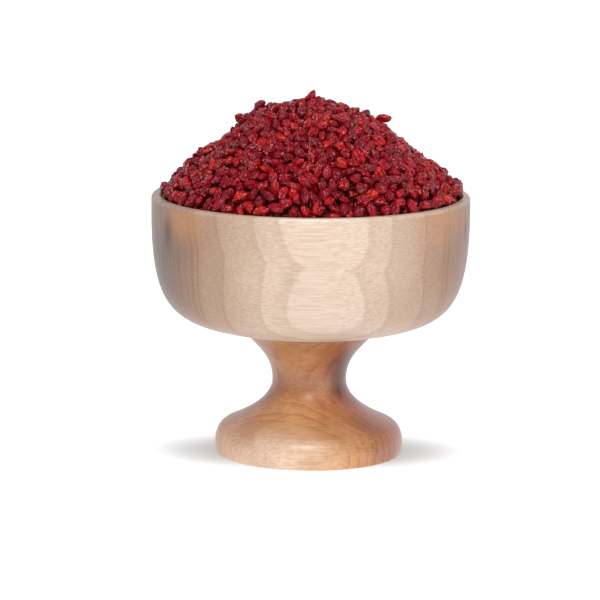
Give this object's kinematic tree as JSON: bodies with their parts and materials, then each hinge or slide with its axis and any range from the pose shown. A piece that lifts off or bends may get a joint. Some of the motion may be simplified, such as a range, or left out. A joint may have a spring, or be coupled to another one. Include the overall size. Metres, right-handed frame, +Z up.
{
  "type": "bowl of dried barberries",
  "caption": "Turned wooden pedestal bowl with a waisted stem and a broad round foot, heaped high with small glossy dark red dried barberries.",
  "frame": {"origin": "centre of the foot's underside, on the surface the bowl stands on", "axes": "+Z up along the turning axis, +X to the viewer's right, -Y towards the viewer of the picture"},
  "size_m": [0.15, 0.15, 0.1704],
  "materials": {
    "pale_wood": "pale cream-tan turned wood with growth-ring figure, oiled to a low sheen",
    "orange_brown_wood": "orange-brown turned wood with curved figure, a little glossier than the bowl",
    "dried_barberry": "wrinkled translucent dried fruit skin, dark wine red to bright crimson, moist gloss"
  },
  "bodies": {
    "root": {"bowl": "pale_wood", "pedestal": "orange_brown_wood", "barberries": "dried_barberry"}
  },
  "joints": []
}
